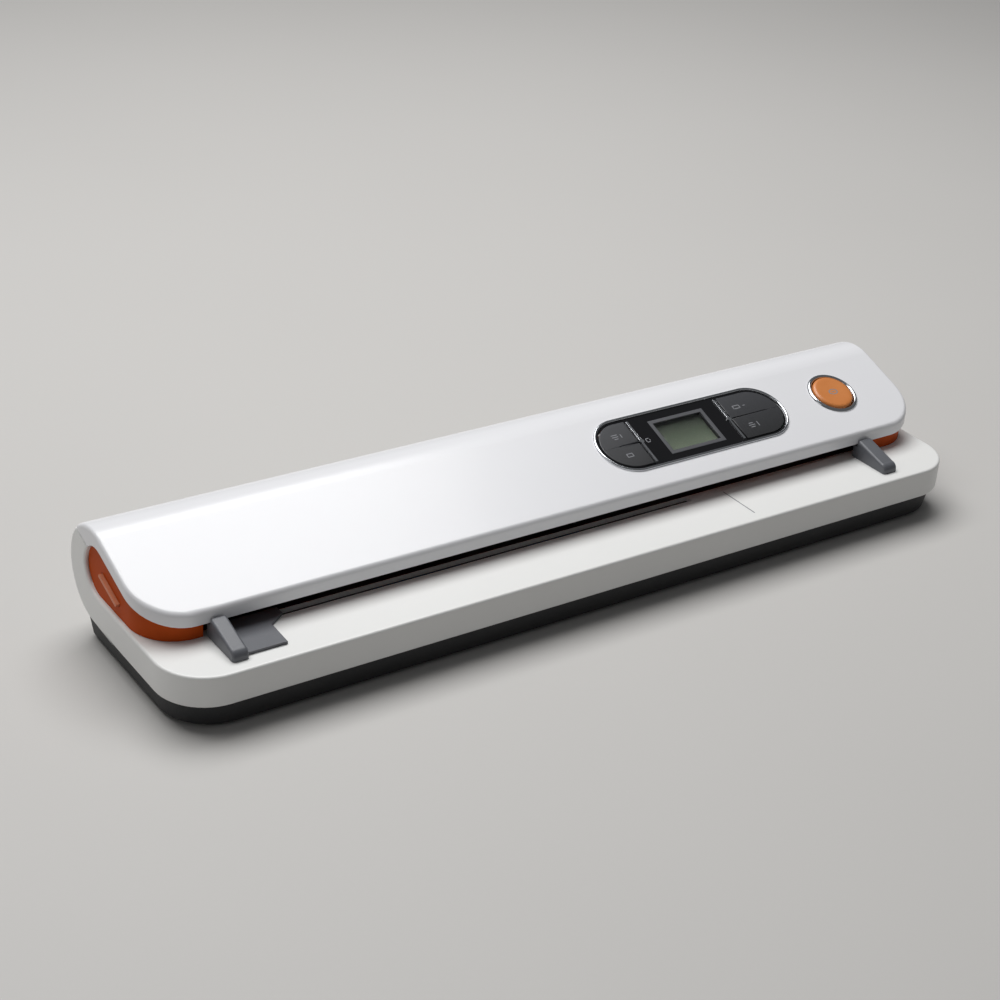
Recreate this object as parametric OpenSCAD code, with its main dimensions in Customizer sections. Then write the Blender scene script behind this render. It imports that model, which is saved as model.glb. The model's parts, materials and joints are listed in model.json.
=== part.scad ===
// Portable sheet-feed document scanner.
// A C-shaped shell holds a roller feed and a contact image sensor.
// Inside place(), X runs from the left end, Y from the tray's front edge
// and Z from the tray's underside.

/* [Shell] */
// Length from end face to end face
body_l = 270; // [268:0.5:272]
// Depth from the tray's front edge to the back of the rear wrap
body_d = 65.6; // [65.4:0.1:66]
// Radius of the rear wrap
wrap_r = 14.4; // [14.2:0.1:14.6]
// Slope of the cover, degrees
cover_tilt = 19.8; // [19.6:0.1:20]
// Thickness of the cover's edge, square to its slope
cover_t = 3.9; // [3.8:0.05:3.95]
// Distance from the tray's front edge to the cover's front edge
cover_front = 17.6; // [17.4:0.1:17.8]
// Thickness of the tray's edge
tray_t = 9.2; // [9.1:0.05:9.25]
// Plan radius of the tray's front corners
tray_corner_r = 14.5; // [12:0.5:16]
// Plan radius of the cover's front corners
cover_corner_r = 14; // [12:0.5:15]
// Wall thickness of the white shells
wall = 1.9; // [1.7:0.1:2]
// Height of the base and its feet under the tray
base_h = 8; // [7.5:0.1:9]

/* [Paper guides] */
// Inner face of the left guide, from the left end
left_guide_x = 21.7; // [21.5:0.1:22]
// Inner face of the right guide, from the left end
right_guide_x = 241.3; // [241:0.1:241.8]
// Thickness of a guide's blade
blade_t = 4.7; // [4:0.1:5]
// How far the left guide slides
guide_travel = 135; // [120:1:136]

/* [Control panel] */
// Centre of the panel from the left end
panel_x = 187.7; // [187:0.1:188]
// Length of the panel
panel_l = 71.3; // [70:0.1:72]
// Width of the panel
panel_w = 21.4; // [21:0.1:21.6]
// Centre of the scan button from the left end
button_x = 244.4; // [244:0.1:244.8]
// Diameter of the scan button
button_d = 13.5; // [13:0.1:13.6]
// Travel of the scan button and the keys
key_travel = 0.6; // [0.4:0.1:0.7]

/* [Feed] */
// Radius of the driven rollers
roller_r = 3.5; // [3.4:0.05:3.5]
// Radius of the pinch rollers
pinch_r = 2.5; // [2.3:0.05:2.5]

/* [Hidden] */
$fn = 64;
eps = 0.01;

// Small gap between moulded pieces that lie next to each other
fit = 0.1;
// Clearance of a shaft in its bush
run = 0.05;

// Profile of the shell
wrap_y = body_d - wrap_r;
cover_sin = sin(cover_tilt);
cover_cos = cos(cover_tilt);
cover_slope = tan(cover_tilt);
// Depth of the seam between cover and rear wrap below the cover's top plane
seam_depth = 8.2;
seam_gap = 0.15;
// Thickness of the wrap behind the recess
wrap_t = 9.6;
recess_k = 1 / cover_cos + 1 + cover_slope;
recess_r = (wrap_r + wrap_r / cover_cos - cover_slope * wrap_t + cover_slope * wrap_r
  - cover_t / cover_cos - tray_t) / recess_k;
recess_y = body_d - wrap_t - recess_r;
recess_z = tray_t + recess_r;
plate_t = 1.4;
plate_z = tray_t - plate_t;

// Paper slot
slot_top = tray_t + 4.4;
slot_x0 = 22;
slot_x1 = 248;

// Inner frame
frame_inset = 1.2;
frame_wall = 1.5;
left_wall_x = 14.5;
right_wall_x = 249.5;
roof_z = slot_top - 0.1;
roof_t = 1.2;
roof_y0 = 20;
roof_y1 = 33;

// Rollers
paper_z = tray_t + 0.5;
roller_z = paper_z - roller_r;
pinch_z = paper_z + 0.1 + pinch_r;
feed_y = 29;
exit_y = 50;
tyre_xs = [60, 112, 164, 216];
tyre_l = 22;
pinch_tyre_l = 18;
shaft_r = 1;
pinch_shaft_r = 1;
shaft_x0 = 12.5;
shaft_x1 = 260.5;
bush_r = 1.55;

// Gears: tooth size, teeth counts, planes and centres
gear_module = 0.5;
motor_n = 10;
reduction_n = 18;
feed_n = 16;
transfer_n = 26;
gear_x = 257;
gear_t = 2.6;
motor_y = 16;
motor_z = 0.8;
motor_r = 6;
motor_l = 21;
bracket_x = 252;
bracket_t = 1.5;
left_bracket_x = 13.5;
transfer_y = (feed_y + exit_y) / 2;
motor_reduction = gear_module * (motor_n + reduction_n) / 2;
reduction_feed = gear_module * (reduction_n + feed_n) / 2;
train_dy = feed_y - motor_y;
train_dz = roller_z - motor_z;
train_d = sqrt(train_dy * train_dy + train_dz * train_dz);
train_a = (motor_reduction * motor_reduction - reduction_feed * reduction_feed
  + train_d * train_d) / (2 * train_d);
train_h = sqrt(motor_reduction * motor_reduction - train_a * train_a);
reduction_y = motor_y + (train_a * train_dy + train_h * train_dz) / train_d;
reduction_z = motor_z + (train_a * train_dz - train_h * train_dy) / train_d;

// Image sensor
sensor_x0 = 18.5;
sensor_x1 = 246.5;
sensor_y0 = 33.4;
sensor_y1 = 45.6;
sensor_z0 = 9.8;
sensor_z1 = 16.6;
spring_xs = [30, 232];
spring_r = 2;
spring_wire_r = 0.25;
spring_top = 20.6;

// Guides
rail_y = 20;
rail_z = 5.6;
rail_r = 1;
rail_x0 = 24;
rail_x1 = 186;
neck_x0 = 28.5;
neck_x1 = 38;
neck_w = 1.8;
neck_z = rail_z + 1.6;
track_x0 = neck_x0 - 1.5;
track_x1 = neck_x1 + guide_travel + 3.8;
track_w = neck_w + 0.8;
blade_y0 = 4.1;
blade_y1 = 17.3;
blade_front_h = 3;
nose_r = 2.2;
blade_rear_h = 6.2;
tongue_y1 = 18.5;
tongue_h = 3.9;
foot_t = 0.8;
foot_x1 = 33.4;
foot_y0 = 5.7;
foot_y1 = 21.6;

// Paper flag
flag_x = 136.3;
flag_y = 23;
flag_z = 15.7;
flag_pin_r = 0.6;

// Black plate under the paper path and the white strip under the sensor
feed_plate_x0 = 17;
feed_plate_x1 = 248.5;
feed_plate_y0 = 21.6;
feed_plate_y1 = 56;
feed_plate_t = 0.6;
platen_y0 = 36.5;
platen_y1 = 42.5;

// Panel
panel_y = 34.3;
button_y = 34.2;
ring_w = 0.9;
plate_d = 1.6;
key_gap = 0.25;
key_top = 0.3;
bar_xs = [-19.8, 14.1];
bar_w = 0.8;
lcd_c = -2.55;
lcd_l = 21;
lcd_w = 14.2;
lcd_rim = 1.35;
board_depth = 4.4;
board_t = 1;
plunger_h = 1.3;
stem_xs = [-26.5, 22];
stem_y = 4;
stem_z = plunger_h + 0.3 + key_travel - board_depth;
button_ring_r = 8.4;
button_bore_r = button_d / 2 + 0.3;

// Main board, battery and the sensor's flat cable
board_x0 = 152;
board_z = -3.4;
battery_low = [58, 13, -5.3];
battery_high = [146, 42.8, -0.4];
cable_t = 0.3;
cable_y0 = 35;
cable_y1 = 43;
cable_x0 = 9.5;
cable_x1 = 155;
cable_low = 0.3;
cable_high = 11.2;

// Card and its slot in the left orange wall
card_x = 0.2;
card_y = 42.2;
card_z = 14.9;
card_w = 11;
card_t = 0.9;
card_l = 15;

// Base
base_inset = 0.8;
base_taper = 1.4;
base_corner_r = 14.2;
base_rear_r = 4;
base_rear = 61;
base_top = 3.3;
base_wall = 1.5;
foot_h = 1;
lip_inset = 4.5;
opening_y1 = 54;
screw_places = [[22, 8.5], [135, 8.5], [226, 8.5], [22, 46], [135, 46], [248, 46]];
screw_head_r = 2.2;
screw_r = 1.2;
tray_post_r = 2.2;
base_post_r = 2.9;
foot_places = [[50, 14], [50, 46], [208, 14], [208, 46]];
foot_r = 5;

// Height of the cover's top plane at y, or of a plane below it by depth
function plane_z(y, depth = 0) =
  wrap_r + (wrap_r - depth) / cover_cos + (y - wrap_y) * cover_slope;

// Angle of a tooth on a driven gear that meshes with one at angle alpha
function mesh_angle(alpha, driver_n, driven_n, theta) =
  theta + 180 + 360 / driven_n * (0.5 - (alpha - theta) * driver_n / 360);

// From corner coordinates to the part's own frame
module place() {
  translate([-body_l / 2, -body_d / 2, base_h])
    children();
}

// A YZ outline pushed along X from x0 to x1
module along_x(x0, x1) {
  translate([x0, 0, 0])
    rotate([90, 0, 90])
      linear_extrude(x1 - x0)
        children();
}

// A cylinder along X, centred on y and z
module rod(x0, x1, y, z, r) {
  translate([x0, y, z])
    rotate([0, 90, 0])
      cylinder(h = x1 - x0, r = r);
}

// A box from its low corner to its high corner
module block(low, high) {
  translate(low)
    cube(high - low);
}

// Puts children on the cover's top plane, with their Z square to it
module on_cover(x, y) {
  translate([x, y, plane_z(y)])
    rotate([cover_tilt, 0, 0])
      children();
}

// A stadium outline, centred
module stadium(l, w) {
  square([l - w, w], center = true);
  for (side = [-1, 1])
    translate([side * (l - w) / 2, 0])
      circle(d = w);
}

// Plan outline with two rounded front corners
module plan(x0, x1, y0, r) {
  translate([x0, y0 + r])
    square([x1 - x0, body_d - y0 - r]);
  translate([x0 + r, y0])
    square([x1 - x0 - 2 * r, r + eps]);
  for (x = [x0 + r, x1 - r])
    translate([x, y0 + r])
      circle(r = r);
}

// Outer YZ profile of the shell, drawn in by inset on every side
module shell_profile(inset = 0) {
  polygon([
    [inset, inset],
    [wrap_y, inset],
    [wrap_y, wrap_r],
    [cover_front + inset, tray_t - inset],
    [inset, tray_t - inset]
  ]);
  polygon([
    [cover_front + inset, tray_t - inset - eps],
    [wrap_y, inset],
    [wrap_y, wrap_r],
    [wrap_y - (wrap_r - inset) * cover_sin, wrap_r + (wrap_r - inset) * cover_cos],
    [cover_front + inset, plane_z(cover_front + inset, inset)]
  ]);
  translate([wrap_y, wrap_r])
    circle(r = wrap_r - inset);
}

// YZ profile of the recess between tray and cover, drawn in by inset
module recess_profile(inset = 0) {
  y0 = cover_front - 5;
  top_y = recess_y - (recess_r - inset) * cover_sin;
  top_z = recess_z + (recess_r - inset) * cover_cos;
  polygon([
    [y0, tray_t + inset],
    [recess_y, tray_t + inset],
    [recess_y, recess_z],
    [top_y, top_z],
    [y0, plane_z(y0, cover_t + inset)]
  ]);
  translate([recess_y, recess_z])
    circle(r = recess_r - inset);
}

// Everything above the seam between the cover and the rear wrap, and above the
// tray further forward, raised by gap
module above_seam(gap = 0) {
  polygon([
    [-1, tray_t],
    [recess_y, tray_t],
    [recess_y, plane_z(recess_y, seam_depth) + gap],
    [90, plane_z(90, seam_depth) + gap],
    [90, 90],
    [-1, 90]
  ]);
}

module cover_profile() {
  difference() {
    intersection() {
      shell_profile();
      above_seam(seam_gap);
      translate([cover_front, tray_t + 1])
        square([90, 90]);
    }
    recess_profile();
  }
}

module tray_profile() {
  difference() {
    shell_profile();
    above_seam();
    recess_profile();
  }
}

// A gear outline with narrow teeth that run with a little backlash
module gear_outline(teeth, angle) {
  pitch_r = gear_module * teeth / 2;
  root_r = pitch_r - 0.6;
  tip_r = pitch_r + 0.4;
  circle(r = root_r);
  for (i = [0 : teeth - 1])
    rotate(angle + i * 360 / teeth)
      polygon([
        [root_r - 0.2, -0.36],
        [pitch_r, -0.24],
        [tip_r, -0.1],
        [tip_r, 0.1],
        [pitch_r, 0.24],
        [root_r - 0.2, 0.36]
      ]);
}

// A gear at y and z with a bore and a hub on its inner side
module gear(teeth, angle, y, z, bore_r, hub_r) {
  translate([0, y, z])
    difference() {
      union() {
        along_x(gear_x, gear_x + gear_t)
          gear_outline(teeth, angle);
        rod(gear_x - 1.2, gear_x, 0, 0, hub_r);
      }
      rod(gear_x - 2, gear_x + gear_t + 1, 0, 0, bore_r);
    }
}

// ---- White shells ----

module upper_cover() {
  color("white") place() {
    difference() {
      intersection() {
        along_x(0, body_l)
          cover_profile();
        linear_extrude(60)
          plan(0, body_l, cover_front, cover_corner_r);
      }
      // Hollow under the top skin
      intersection() {
        along_x(wall, body_l - wall)
          difference() {
            shell_profile(wall);
            translate([-1, -1])
              square([100, tray_t]);
          }
        translate([0, 0, -1])
          linear_extrude(60)
            plan(wall, body_l - wall, cover_front + wall, cover_corner_r - wall);
      }
      // Openings for the panel and the scan button
      on_cover(panel_x, panel_y)
        translate([0, 0, -5])
          linear_extrude(10)
            stadium(panel_l - 2 * ring_w, panel_w - 2 * ring_w);
      on_cover(button_x, button_y)
        translate([0, 0, -5])
          cylinder(h = 10, r = button_ring_r - 0.5);
    }
    // Seats of the sensor springs
    for (x = spring_xs)
      intersection() {
        translate([x, (sensor_y0 + sensor_y1) / 2, spring_top])
          cylinder(h = 10, r = spring_r + 0.8);
        along_x(0, body_l)
          shell_profile(wall - 0.4);
      }
  }
}

// Hollow of the tray below its top plate
module tray_cavity() {
  intersection() {
    along_x(wall, body_l - wall)
      difference() {
        union() {
          shell_profile(wall);
          translate([wall, wall])
            square([cover_front + wall, plate_z - wall]);
        }
        translate([-1, plate_z])
          square([wrap_y + wrap_r, 40]);
      }
    translate([0, 0, -1])
      linear_extrude(40)
        plan(wall, body_l - wall, wall, tray_corner_r - wall);
  }
  // Opening in the underside, closed by the base
  intersection() {
    block([lip_inset, lip_inset, -2], [body_l - lip_inset, opening_y1, wall + 1]);
    translate([0, 0, -3])
      linear_extrude(40)
        plan(lip_inset, body_l - lip_inset, lip_inset, tray_corner_r - lip_inset);
  }
}

// Windows for the driven tyres
module tyre_windows() {
  for (x = tyre_xs, y = [feed_y, exit_y])
    block([x - tyre_l / 2 - 0.5, y - roller_r - 0.4, plate_z - 1],
      [x + tyre_l / 2 + 0.5, y + roller_r + 0.4, tray_t + 1]);
}

module tray_shell() {
  color("white") place() {
    difference() {
      intersection() {
        along_x(0, body_l)
          tray_profile();
        linear_extrude(60)
          plan(0, body_l, 0, tray_corner_r);
      }
      tray_cavity();
      // Hollow of the rear wrap above the top plate
      along_x(wall, body_l - wall)
        difference() {
          shell_profile(wall);
          translate([-1, -1])
            square([100, tray_t + 1]);
        }
      // Exit slot in the rear wrap
      block([slot_x0, 50, tray_t], [slot_x1, body_d + 1, slot_top]);
      tyre_windows();
      // Room for the gears and the sensor cable, hidden under the frame's ends
      block([gear_x - 2, 24, -1], [gear_x + gear_t + 1.5, 55.5, tray_t + 2]);
      block([7.5, 34, plate_z - 1], [12.5, 45, tray_t + 1]);
      // Track of the left guide
      block([track_x0, rail_y - track_w / 2, plate_z - 1],
        [track_x1, rail_y + track_w / 2, tray_t + 1]);
      // Seat of the black feed plate
      block([feed_plate_x0, feed_plate_y0, tray_t - feed_plate_t],
        [feed_plate_x1, feed_plate_y1, tray_t + 1]);
    }
    // Screw posts
    for (p = screw_places)
      translate([p[0], p[1], 0])
        difference() {
          translate([0, 0, -1])
            cylinder(h = plate_z + 1 + eps, r = tray_post_r);
          translate([0, 0, -2])
            cylinder(h = 8, r = screw_r + 0.02);
        }
    // Holders of the guide rail
    for (x = [rail_x0, rail_x1 - 2])
      difference() {
        block([x, rail_y - 2, rail_z - 1.6], [x + 2, rail_y + 2, plate_z + eps]);
        rod(x - 1, x + 3, rail_y, rail_z, rail_r);
      }
  }
}

// ---- Orange inner frame ----

// One end of the frame: walls that follow the recess, open above and below
module frame_end(x0, x1) {
  difference() {
    intersection() {
      along_x(x0, x1)
        difference() {
          recess_profile(fit);
          translate([-20, 0])
            square([cover_front + frame_inset + 20, 60]);
        }
      linear_extrude(60)
        plan(frame_inset, body_l - frame_inset, cover_front + frame_inset,
          cover_corner_r - frame_inset);
    }
    intersection() {
      along_x(x0 + frame_wall, x1 - frame_wall)
        union() {
          recess_profile(frame_wall);
          polygon([
            [0, tray_t - 1],
            [recess_y, tray_t - 1],
            [recess_y, recess_z],
            [recess_y - 6 * cover_sin, recess_z + 12 * cover_cos],
            [0, plane_z(0, 0)]
          ]);
        }
      linear_extrude(60)
        plan(frame_inset + frame_wall, body_l - frame_inset - frame_wall,
          cover_front + frame_inset + frame_wall,
          cover_corner_r - frame_inset - frame_wall);
    }
  }
}

module inner_frame() {
  pinch_bore_r = pinch_shaft_r + run;
  color("chocolate") place() {
    difference() {
      union() {
        frame_end(frame_inset, left_wall_x + frame_wall);
        frame_end(right_wall_x, body_l - frame_inset);
        // Roof over the paper mouth
        block([left_wall_x + frame_wall - eps, roof_y0, roof_z],
          [right_wall_x + eps, roof_y1, roof_z + roof_t]);
        // Rear beam over the exit rollers
        block([left_wall_x + frame_wall - eps, 46.8, 16], [right_wall_x + eps, 53, 17.4]);
      }
      // Windows in the roof for the pinch tyres and their shaft
      for (x = tyre_xs)
        block([x - pinch_tyre_l / 2 - 0.5, feed_y - 3, roof_z - 1],
          [x + pinch_tyre_l / 2 + 0.5, roof_y1 + 1, roof_z + 3]);
      // Slot in the roof for the paper flag
      block([flag_x - 0.9, flag_y - 1, roof_z - 1], [flag_x + 0.9, flag_y + 4, roof_z + 3]);
      // Bearings of the pinch shafts
      for (y = [feed_y, exit_y], x = [left_wall_x, right_wall_x])
        rod(x - 1, x + frame_wall + 1, y, pinch_z, pinch_bore_r);
      // Room for the gears
      block([gear_x - 2, 24, tray_t - 1], [gear_x + gear_t + 1.5, 55.5, 14]);
      // Card slot in the left wall and the socket's window in the inner wall
      translate([0, card_y, card_z])
        rotate([cover_tilt, 0, 0])
          block([0, -card_w / 2 - 0.3, -0.7], [5, card_w / 2 + 0.3, 0.7]);
      translate([0, card_y, card_z])
        rotate([cover_tilt, 0, 0])
          block([left_wall_x - 1, -7, -1.4], [left_wall_x + 3, 7, 1.4]);
      // Connector opening in the right wall
      block([body_l - 4, 34, 10.6], [body_l, 42, 14.7]);
      // Way for the sensor cable through the left inner wall
      block([left_wall_x - 1, 34.5, tray_t - 1], [left_wall_x + 3, 44.5, 12.2]);
    }
    // Clips of the paper flag
    for (x = [flag_x - 2.7, flag_x + 1.5])
      difference() {
        block([x, flag_y - 1.5, roof_z + roof_t - eps], [x + 1.2, flag_y + 1.5, flag_z + 1.1]);
        rod(x - 1, x + 3, flag_y, flag_z, flag_pin_r + run);
      }
  }
}

// ---- Base ----

// A tapered tub that runs back under the wrap
module tub(inset, low_z, high_z) {
  front_y = base_inset + base_corner_r;
  rear_y = base_rear - base_rear_r;
  hull()
    for (level = [[low_z, inset + base_taper], [high_z, inset]])
      for (side = [-1, 1]) {
        half = body_l / 2 - base_inset - level[1];
        translate([body_l / 2 + side * (half - base_corner_r), front_y + level[1], level[0]])
          cylinder(h = eps, r = base_corner_r, $fn = 48);
        translate([body_l / 2 + side * (half - base_rear_r), rear_y - level[1], level[0]])
          cylinder(h = eps, r = base_rear_r, $fn = 32);
      }
}

module base_cover() {
  low = -base_h + foot_h;
  color("#1a1a1b") place()
    difference() {
      union() {
        difference() {
          tub(0, low, base_top);
          tub(base_wall, low + base_wall, base_top + 1);
          along_x(-1, body_l + 1)
            shell_profile(-0.02);
        }
        // Posts over the screw heads
        for (p = screw_places)
          translate([p[0], p[1], low + 1])
            cylinder(h = -low - 2, r = base_post_r);
      }
      // Recesses and holes of the screws
      for (p = screw_places)
        translate([p[0], p[1], low - 1]) {
          cylinder(h = 2, r = screw_head_r + 0.3);
          cylinder(h = 20, r = screw_r + 0.3);
        }
      // Seats of the feet
      for (p = foot_places)
        translate([p[0], p[1], low - 1])
          cylinder(h = 1.4, r = foot_r);
    }
}

module rubber_feet() {
  color("#2b2b2c") place()
    for (p = foot_places)
      translate([p[0], p[1], -base_h])
        cylinder(h = foot_h + 0.4, r = foot_r);
}

module base_screws() {
  low = -base_h + foot_h;
  color("silver") place()
    for (p = screw_places)
      translate([p[0], p[1], low])
        difference() {
          union() {
            translate([0, 0, 0.05])
              cylinder(h = 0.95, r = screw_head_r);
            cylinder(h = 11.5, r = screw_r);
          }
          for (turn = [0, 90])
            rotate([0, 0, turn])
              cube([2.4, 0.5, 1], center = true);
        }
}

// ---- Guides ----

// YZ outline of a guide's blade, low in front with a rounded nose
module blade_outline() {
  polygon([
    [blade_y0, tray_t],
    [blade_y1, tray_t],
    [blade_y1, tray_t + blade_rear_h],
    [blade_y0 + nose_r, tray_t + blade_front_h],
    [blade_y0, tray_t + blade_front_h - nose_r]
  ]);
  intersection() {
    translate([blade_y0 + nose_r, tray_t + blade_front_h - nose_r])
      circle(r = nose_r);
    translate([blade_y0 - 1, tray_t])
      square([blade_y1, blade_rear_h]);
  }
  translate([blade_y1 - 1, tray_t])
    square([tongue_y1 - blade_y1 + 1, tongue_h]);
}

module left_guide() {
  color("#6b6b70") place() {
    difference() {
      union() {
        translate([0, 0, fit])
          along_x(left_guide_x - blade_t, left_guide_x)
            blade_outline();
        // Foot that lies on the tray and runs back under the cover
        translate([0, 0, tray_t + fit])
          linear_extrude(foot_t)
            polygon([
              [left_guide_x - 1, foot_y0],
              [foot_x1, foot_y0],
              [foot_x1 + 0.4, 15],
              [foot_x1 + 5.4, 18.6],
              [foot_x1 + 5.4, foot_y1],
              [left_guide_x - 1, foot_y1]
            ]);
        // Neck through the track
        block([neck_x0, rail_y - neck_w / 2, neck_z],
          [neck_x1, rail_y + neck_w / 2, tray_t + fit + eps]);
      }
      // Nothing of the blade lies below the tray's top outside the neck
      block([-1, -1, tray_t - 1], [neck_x0, rail_y + 20, tray_t + fit]);
    }
  }
}

module guide_carriage() {
  color("#4a4a4e") place()
    difference() {
      block([neck_x0 - 0.5, rail_y - 2.4, rail_z - 1.8],
        [neck_x1 + 0.5, rail_y + 2.4, plate_z - 0.3]);
      rod(neck_x0 - 1, neck_x1 + 1, rail_y, rail_z, rail_r + run);
      block([neck_x0, rail_y - neck_w / 2, neck_z], [neck_x1, rail_y + neck_w / 2, plate_z]);
    }
}

module guide_rail() {
  color("silver") place()
    rod(rail_x0, rail_x1, rail_y, rail_z, rail_r);
}

module right_guide() {
  color("#6b6b70") place()
    along_x(right_guide_x, right_guide_x + blade_t + 0.7)
      blade_outline();
}

module feed_plate() {
  color("#202022") place()
    difference() {
      block([feed_plate_x0, feed_plate_y0, tray_t - feed_plate_t],
        [feed_plate_x1, feed_plate_y1, tray_t]);
      tyre_windows();
      block([slot_x0 - 1, platen_y0, plate_z], [slot_x1 - 3, platen_y1, tray_t + 1]);
    }
}

module platen_strip() {
  color("white") place()
    block([slot_x0 - 1, platen_y0, tray_t - feed_plate_t],
      [slot_x1 - 3, platen_y1, tray_t + 0.05]);
}

// ---- Panel ----

// Outline of the keys' openings at one end of the plate, drawn in by inset
module key_outline(end, inset) {
  edge = end < 0 ? bar_xs[0] - bar_w / 2 - 0.3 : bar_xs[1] + bar_w / 2 + 0.3;
  intersection() {
    stadium(panel_l - 2 * ring_w - 1.2 - 2 * inset, panel_w - 2 * ring_w - 1.2 - 2 * inset);
    translate([end < 0 ? -panel_l : edge + inset, -panel_w])
      square([panel_l + (end < 0 ? edge - inset : 0), 2 * panel_w]);
  }
}

module panel_plate() {
  color("#151517") place() on_cover(panel_x, panel_y)
    difference() {
      translate([0, 0, -plate_d])
        linear_extrude(plate_d)
          stadium(panel_l - 2 * ring_w, panel_w - 2 * ring_w);
      translate([0, 0, -plate_d - 1])
        linear_extrude(plate_d + 2) {
          key_outline(-1, 0);
          key_outline(1, 0);
          translate([lcd_c, -0.2])
            square([lcd_l, lcd_w], center = true);
        }
      // Shallow seats of the divider bars
      for (x = bar_xs)
        block([x - bar_w / 2, -8.6, -0.5], [x + bar_w / 2, 8.6, 1]);
    }
}

module panel_ring() {
  color("silver") place() on_cover(panel_x, panel_y)
    difference() {
      linear_extrude(0.6)
        stadium(panel_l, panel_w);
      translate([0, 0, -1])
        linear_extrude(3)
          stadium(panel_l - 2 * ring_w, panel_w - 2 * ring_w);
    }
}

module divider_bars() {
  color("silver") place() on_cover(panel_x, panel_y)
    for (x = bar_xs) {
      block([x - bar_w / 2, -8.6, -0.5], [x + bar_w / 2, 8.6, 0.3]);
      translate([x, 0, 0])
        cylinder(h = 0.45, r = 0.75);
    }
}

module lcd_bezel() {
  color("#5b5b5e") place() on_cover(panel_x, panel_y)
    translate([lcd_c, -0.2, -plate_d])
      linear_extrude(plate_d + 0.1)
        difference() {
          square([lcd_l, lcd_w], center = true);
          square([lcd_l - 2 * lcd_rim, lcd_w - 2 * lcd_rim], center = true);
        }
}

module lcd_window() {
  color("#3a4038", 0.6) place() on_cover(panel_x, panel_y)
    translate([lcd_c, -0.2, -1.3])
      linear_extrude(0.8)
        square([lcd_l - 2 * lcd_rim, lcd_w - 2 * lcd_rim], center = true);
}

module lcd_module() {
  color("#6f7a6c") place() on_cover(panel_x, panel_y)
    translate([lcd_c, -0.2, -3.4])
      linear_extrude(1.7)
        square([lcd_l + 3, lcd_w + 2], center = true);
}

// One key: half of the opening at one end
module key(end, half) {
  place() on_cover(panel_x, panel_y) {
    translate([0, 0, -1.4])
      linear_extrude(1.4 + key_top)
        intersection() {
          key_outline(end, key_gap);
          translate([-panel_l, half > 0 ? 0.2 : -panel_w - 0.2])
            square([2 * panel_l, panel_w]);
        }
    // Stem over the key's switch
    translate([end < 0 ? stem_xs[0] : stem_xs[1], half * stem_y, stem_z])
      cylinder(h = -1.2 - stem_z, r = 1);
  }
}

module menu_key_upper() {
  color("#3c3c40") key(-1, 1);
}

module menu_key_lower() {
  color("#3c3c40") key(-1, -1);
}

module mode_key_upper() {
  color("#3c3c40") key(1, 1);
}

module mode_key_lower() {
  color("#3c3c40") key(1, -1);
}

module scan_button() {
  color("#cc7a3a") place() on_cover(button_x, button_y) {
    translate([0, 0, -2])
      cylinder(h = 2.4, d = button_d);
    translate([0, 0, 0.4])
      cylinder(h = 0.5, d1 = button_d, d2 = button_d - 1.2);
    translate([0, 0, stem_z])
      cylinder(h = -1 - stem_z, r = 1.5);
  }
}

module button_ring() {
  color("silver") place() on_cover(button_x, button_y)
    difference() {
      union() {
        cylinder(h = 0.6, r = button_ring_r);
        translate([0, 0, -wall])
          cylinder(h = wall + 0.3, r = button_ring_r - 0.5);
      }
      translate([0, 0, -5])
        cylinder(h = 10, r = button_bore_r);
    }
}

module control_boards() {
  color("darkgreen") place() {
    on_cover(panel_x, panel_y)
      translate([0, 0, -board_depth - board_t])
        linear_extrude(board_t)
          square([74, 17], center = true);
    on_cover(button_x, button_y)
      translate([0, 0, -board_depth - board_t])
        linear_extrude(board_t)
          square([9.4, 10], center = true);
  }
}

// One switch body with its plunger, standing on a board
module tact_switch() {
  translate([-2.2, -2.2, -board_depth])
    cube([4.4, 4.4, 1.1]);
  translate([0, 0, -board_depth])
    cylinder(h = plunger_h, r = 0.8);
}

module tact_switches() {
  color("dimgray") place() {
    on_cover(panel_x, panel_y)
      for (x = stem_xs, y = [-stem_y, stem_y])
        translate([x, y, 0])
          tact_switch();
    on_cover(button_x, button_y)
      tact_switch();
  }
}

// ---- Electronics ----

module main_board() {
  color("darkgreen") place() {
    block([board_x0, 13, board_z - board_t], [board_x0 + 72, 45, board_z]);
    // Processor, memory and the cable's connector
    block([board_x0 + 18, 20, board_z], [board_x0 + 30, 32, board_z + 1.4]);
    block([board_x0 + 44, 28, board_z], [board_x0 + 54, 38, board_z + 1.2]);
    block([board_x0 + 1, 36, board_z], [board_x0 + 5, 44, board_z + 1]);
  }
}

module usb_socket() {
  color("silver") place()
    difference() {
      block([body_l - 9.5, 34.1, 10.7], [body_l - 1.6, 41.9, 14.6]);
      block([body_l - 8.5, 34.6, 11.2], [body_l, 41.4, 14.1]);
    }
}

module card_socket() {
  color("silver") place()
    translate([0, card_y, card_z])
      rotate([cover_tilt, 0, 0])
        difference() {
          block([3, -6.8, -1.2], [16.8, 6.8, 1.2]);
          block([2, -card_w / 2 - 0.1, -card_t / 2 - 0.1],
            [16.2, card_w / 2 + 0.1, card_t / 2 + 0.1]);
        }
}

module memory_card() {
  color("#c06a45") place()
    translate([0, card_y, card_z])
      rotate([cover_tilt, 0, 0])
        block([card_x, -card_w / 2, -card_t / 2], [card_x + card_l, card_w / 2, card_t / 2]);
}

module battery_pack() {
  color("steelblue") place()
    block(battery_low, battery_high);
}

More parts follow.
